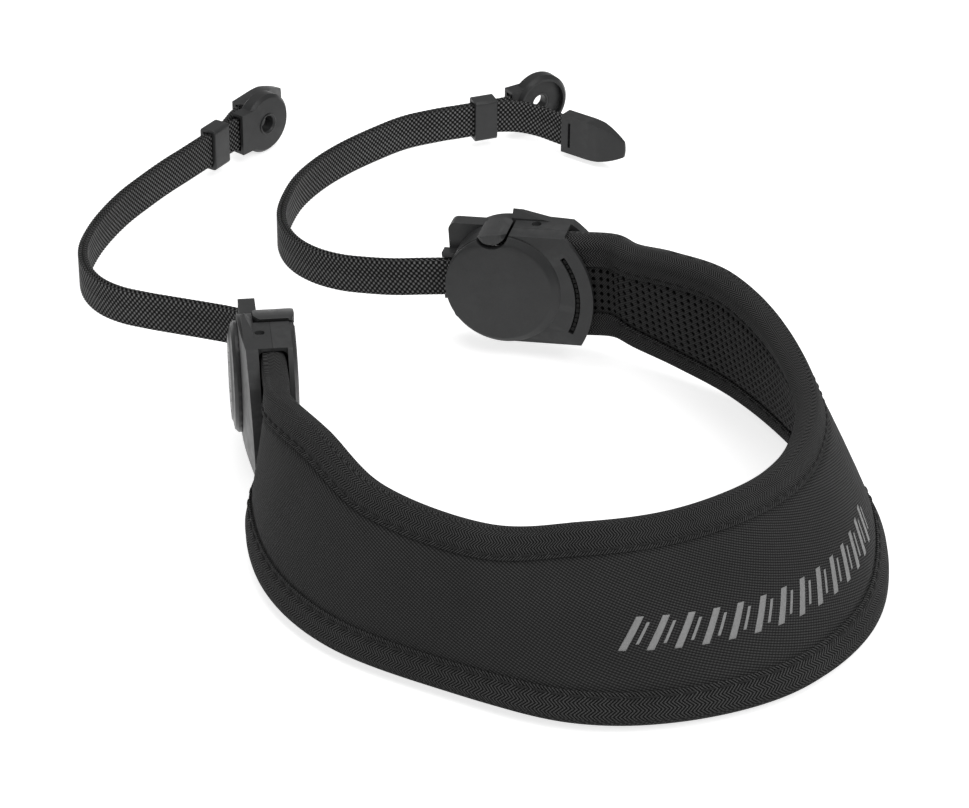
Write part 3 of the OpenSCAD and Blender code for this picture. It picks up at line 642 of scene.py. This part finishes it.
def make_lining():
    columns = int(PAD_LENGTH / CELL)
    ds = PAD_LENGTH / columns
    widths = Pad(np.linspace(0, PAD_LENGTH, columns + 1)).width
    border = np.array([(-1, -1), (0, -1), (1, -1), (1, 0), (1, 1), (0, 1), (-1, 1), (-1, 0)]) / 2
    angles = np.arctan2(border[:, 1], border[:, 0])
    index, s_list, a_list, d_list, faces = {}, [], [], [], []

    def vertex(s, a, depth, key):
        if key not in index:
            index[key] = len(s_list)
            s_list.append(s), a_list.append(a), d_list.append(depth)
        return index[key]

    for c in range(columns):
        room = min(widths[c], widths[c + 1]) - LINING_MARGIN
        for r in range(int((room - LINING_MARGIN) / CELL)):
            lean = 0.35 * math.sin(c * 0.7)
            sm, am = (c + 0.5) * ds, LINING_MARGIN + (r + 0.5) * CELL
            rings = [[vertex(sm + b[0] * ds, am + b[1] * CELL, 0.0,
                             (2 * c + 1 + round(2 * b[0]), 2 * r + 1 + round(2 * b[1])))
                      for b in border]]
            for n, (radius, depth) in enumerate(HOLE_RINGS):
                rings.append([vertex(sm + 0.08 * lean + radius * math.cos(g),
                                     am + radius * 1.08 * math.sin(g), depth, (c, r, n, k))
                              for k, g in enumerate(angles)])
            for one, two in zip(rings, rings[1:]):
                for k in range(8):
                    m = (k + 1) % 8
                    faces.append([one[k], two[k], two[m], one[m]])
            faces.append(rings[-1][::-1])
    s, a, depth = np.array(s_list), np.array(a_list), np.array(d_list)
    pad = PadAt(np.clip(s, 0.05, PAD_LENGTH - 0.05))
    points = pad.at(a, -(face_height(pad, a, rise_in) - depth))
    piece = new_mesh("pad_air_mesh", points, faces, np.stack([s, a], 1), material=LINING)
    # second material: near-black painted shade inside the holes
    piece.data.materials.append(HOLE_SHADE)
    # of each cell's 25 faces the last 9 are inside its hole and take the near-black painted shade
    inside_hole = [int(n % 25 >= 16) for n in range(len(faces))]
    piece.data.polygons.foreach_set("material_index", inside_hole)
    return piece


lining = make_lining()
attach(lining, "root")
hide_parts("pad_inner_mesh")


# ---------------------------------------------------------------- edge binding and its stitches
SEAM, STITCH, GAP, SEAM_START = 6.1, 2.55, 0.85, 14.5
SEAM_DIP, STITCH_DIP, TAPE_WAVE = 0.16, 0.08, 0.04
THREAD_R, THREAD_SIDES = 0.24, 6


def binding_section():
    """Outline of the folded tape [across, out], round from the fold; make_binding measures the
    distance along it.
    """
    turn = np.radians(np.linspace(0, 90, 8))
    top = [(2.4 - 2.4 * math.cos(a), (OUTSIDE - 0.05) * math.sin(a)) for a in turn]
    top += [(a, OUTSIDE - 0.05) for a in (3.0, 4.0, 5.0, 5.5, 5.9, 6.3, 6.7, 7.0)]
    top += [(BIND_W, OUTSIDE - 0.17), (BIND_W - 0.03, OUTSIDE - BIND_T)]
    inner = [(a, OUTSIDE - BIND_T - 0.02) for a in (5.0, 3.0, 1.6)] + [(0.6, 1.6), (0.45, 0)]
    half = top + inner
    return half + [(a, -n) for a, n in half[::-1][1:-1]]


def make_binding(name, low):
    pad = Pad(np.linspace(0.1, PAD_LENGTH - 0.1, 620))
    section = binding_section()
    flat = np.array(section)
    fold = np.concatenate([[0], np.cumsum(np.linalg.norm(np.diff(flat, axis=0), axis=1))])
    around = fold[-1] + np.linalg.norm(flat[0] - flat[-1])
    rings, uv = [], []
    for (a, n), f in zip(section, fold):
        shown = abs(n) > OUTSIDE - 0.3 and a > 3.5
        puff = 0.0
        if shown:
            stitch = 0.5 + 0.5 * np.cos(2 * np.pi * pad.s / (STITCH + GAP))
            puff = -(SEAM_DIP + STITCH_DIP * stitch) * math.exp(-((a - SEAM) / 0.6) ** 2)
            puff = puff + TAPE_WAVE * np.sin(pad.s * 0.9 + a) * math.exp(-((a - 4) / 2) ** 2)
        rings.append(pad.at(a, n + np.sign(n) * puff, low))
        uv.append(np.stack([pad.s, np.full(pad.s.shape, f if f < around / 2 else f - around)], 1))
    rings, uv = np.stack(rings, 1), np.stack(uv, 1)
    points, faces = closed_loft(rings, flip=low)
    uv = np.concatenate([uv.reshape(-1, 2), uv[0, :1], uv[-1, :1]])
    piece = new_mesh(name, points, faces, uv, material=TAPE)
    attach(piece, "root")
    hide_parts(name.replace("_tape", "_binding"))


make_binding("pad_upper_tape", False)
make_binding("pad_lower_tape", True)


def thread_run(points, normals):
    """One stitch: a short thread that rises from the cloth, lies on it and goes back in."""
    points, normals = np.asarray(points, float), np.asarray(normals, float)
    way = unit(np.gradient(points, axis=0))
    cross = unit(np.cross(way, normals))
    u = np.linspace(-1, 1, len(points))
    lift = 0.16 - 0.34 * np.abs(u) ** 3
    thick = THREAD_R * (1 - 0.35 * np.abs(u) ** 4)
    turn = np.linspace(0, 2 * np.pi, THREAD_SIDES, endpoint=False)
    rings = [points[i] + normals[i] * lift[i] + thick[i] * (np.cos(turn)[:, None] * cross[i]
             + 0.8 * np.sin(turn)[:, None] * normals[i]) for i in range(len(points))]
    return closed_loft(rings)


def join_runs(name, runs):
    points, faces, uv, start = [], [], [], 0
    for p, f in runs:
        points.append(p)
        faces += [[v + start for v in face] for face in f]
        start += len(p)
        steps = np.arange(len(p))
        uv.append(np.stack([steps // THREAD_SIDES * 0.4, steps % THREAD_SIDES * 0.25], 1))
    return new_mesh(name, np.concatenate(points), faces, np.concatenate(uv), material=THREAD)


def seam_runs(low, outside):
    runs = []
    sign = 1 if outside else -1
    count = int((PAD_LENGTH - 2 * SEAM_START) / (STITCH + GAP))
    for k in range(count):
        s0 = SEAM_START + k * (STITCH + GAP)
        pad = PadAt(np.linspace(s0, s0 + STITCH, 6))
        runs.append(thread_run(pad.at(SEAM, sign * (OUTSIDE - 0.16), low), pad.out * sign))
    return runs


seams = [(low, outside) for low in (True, False) for outside in (True, False)]
stitches = join_runs("pad_seam_stitches", [run for seam in seams for run in seam_runs(*seam)])
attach(stitches, "root")


# ---------------------------------------------------------------- plain printed bars on the knit
PRINT_X, BARS = (-27.5, 42.5), 28
WIDE_BAR, NARROW_BAR, BAR_LEAN, PRINT_PROUD = (0.56, 7.2), (0.24, 4.6), 1.9, 0.05


def make_print():
    middle = (low_line + high_line) / 2
    front = middle[:, 1] < -25
    first, last = (np.interp(x, middle[front, 0], pad_by[front]) for x in PRINT_X)
    points, faces, uv = [], [], []
    rows, cols = np.linspace(-1, 1, 14), np.linspace(0, 1, 6)
    pitch = (last - first) / BARS
    for k in range(BARS):
        wide, tall = WIDE_BAR if k % 2 == 0 else NARROW_BAR
        start = len(points)
        b, a = (g.ravel() for g in np.meshgrid(rows, cols, indexing="ij"))
        s = first + pitch * (k + a * wide) + BAR_LEAN * b * tall / WIDE_BAR[1]
        pad = PadAt(s)
        across = pad.width * (0.445 - 0.09 * (s - first) / (last - first)) + b * tall / 2
        points += list(pad.at(across, face_height(pad, across, rise_out) + PRINT_PROUD))
        uv += list(np.stack([s, across], 1))
        faces += grid_faces(len(rows), len(cols), start=start).tolist()
    piece = new_mesh("pad_printed_bars", points, faces, uv, material=PRINT)
    thick = piece.modifiers.new("Solidify", "SOLIDIFY")
    thick.thickness, thick.offset = 0.06 * MM, 0.0
    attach(piece, "root")


make_print()

# ---------------------------------------------------------------- CAD pieces: edges and finishes
FINISH = {
    "inner_shell": (SHELL, 0.30), "outer_shell": (SHELL, 0.30), "outer_cover": (SHELL_OUTER, 0.18),
    "release_button": (BUTTON, 0.22), "button_spring": (STEEL, 0), "cam_lever": (SMALL, 0.1),
    "cam_pin": (STEEL, 0.1), "turn_roller": (SMALL, 0.1), "roller_pin": (STEEL, 0.1),
    "seam_stitches": (THREAD, 0.12), "keeper": (SHELL, 0.25), "connector_body": (SMALL, 0.22),
    "connector_bushing": (SHELL_OUTER, 0.12), "connector_bar": (STEEL, 0.1),
    "pull_tab": (SMALL, 0.28)}
for side in ("left", "right"):
    for kind, (material, rounding) in FINISH.items():
        node = nodes[f"{side}_{kind}"]
        node.data.materials.clear()
        node.data.materials.append(material)
        if rounding:
            weld = node.modifiers.new("Weld", "WELD")
            weld.merge_threshold = 1e-6
            bevel = node.modifiers.new("Bevel", "BEVEL")
            bevel.width = rounding * MM
            bevel.segments = 2
            bevel.limit_method = "ANGLE"
            bevel.angle_limit = math.radians(35)
            bevel.harden_normals = False
            node.data.shade_smooth()
            even = node.modifiers.new("Normals", "WEIGHTED_NORMAL")
            even.keep_sharp = False


# ---------------------------------------------------------------- floor, background and light
FLOOR_GREY, FLOOR_GLOW, WORLD_LIGHT = 0.82, 0.72, 0.30


def backdrop():
    size = 3.0
    corners = np.array([(-1, -1, 0), (1, -1, 0), (1, 1, 0), (-1, 1, 0)]) * size / MM
    floor = new_mesh("floor", corners, [(0, 1, 2, 3)], smooth=False)
    material = bpy.data.materials.new("floor")
    material.use_nodes = True
    tree = material.node_tree
    shader = tree.nodes["Principled BSDF"]
    shader.inputs["Base Color"].default_value = (*grey(FLOOR_GREY), 1)
    shader.inputs["Roughness"].default_value = 0.9
    shader.inputs["Specular IOR Level"].default_value = 0.1
    path = tree.nodes.new("ShaderNodeLightPath")
    seen = tree.nodes.new("ShaderNodeMath")
    seen.operation = "MAXIMUM"
    also = tree.nodes.new("ShaderNodeMath")
    also.operation = "MAXIMUM"
    tree.links.new(path.outputs["Is Camera Ray"], seen.inputs[0])
    tree.links.new(path.outputs["Is Glossy Ray"], seen.inputs[1])
    tree.links.new(seen.outputs[0], also.inputs[0])
    tree.links.new(path.outputs["Is Transmission Ray"], also.inputs[1])
    strength = tree.nodes.new("ShaderNodeMath")
    strength.operation = "MULTIPLY"
    strength.inputs[1].default_value = FLOOR_GLOW
    tree.links.new(also.outputs[0], strength.inputs[0])
    shader.inputs["Emission Color"].default_value = (1, 1, 1, 1)
    tree.links.new(strength.outputs[0], shader.inputs["Emission Strength"])
    floor.data.materials.append(material)

    world = bpy.data.worlds.new("studio")
    bpy.context.scene.world = world
    world.use_nodes = True
    tree = world.node_tree
    tree.nodes.clear()
    out = tree.nodes.new("ShaderNodeOutputWorld")
    blend = tree.nodes.new("ShaderNodeMixShader")
    light = tree.nodes.new("ShaderNodeBackground")
    white = tree.nodes.new("ShaderNodeBackground")
    light.inputs["Strength"].default_value = WORLD_LIGHT
    white.inputs["Strength"].default_value = 1.0
    light.inputs["Color"].default_value = white.inputs["Color"].default_value = (1, 1, 1, 1)
    path = tree.nodes.new("ShaderNodeLightPath")
    seen = tree.nodes.new("ShaderNodeMath")
    seen.operation = "MAXIMUM"
    tree.links.new(path.outputs["Is Camera Ray"], seen.inputs[0])
    tree.links.new(path.outputs["Is Transmission Ray"], seen.inputs[1])
    tree.links.new(seen.outputs[0], blend.inputs[0])
    tree.links.new(light.outputs[0], blend.inputs[1])
    tree.links.new(white.outputs[0], blend.inputs[2])
    tree.links.new(blend.outputs[0], out.inputs[0])


def softbox(name, place, aim, size, power):
    data = bpy.data.lights.new(name, "AREA")
    data.shape, data.size, data.energy = "SQUARE", size, power
    lamp = bpy.data.objects.new(name, data)
    bpy.context.scene.collection.objects.link(lamp)
    lamp.location = place
    lamp.rotation_mode = "QUATERNION"
    lamp.rotation_quaternion = (Vector(aim) - Vector(place)).to_track_quat("-Z", "Y")


backdrop()
softbox("key", (0.10, -0.85, 1.05), (0, 0.02, 0.02), 0.7, 6.4)
softbox("top", (0.10, 0.30, 1.25), (0, 0.05, 0.0), 0.9, 5.0)
softbox("side", (-0.9, -0.35, 0.5), (0.0, 0.0, 0.02), 0.5, 0.7)
bpy.context.scene.view_settings.view_transform = "Standard"
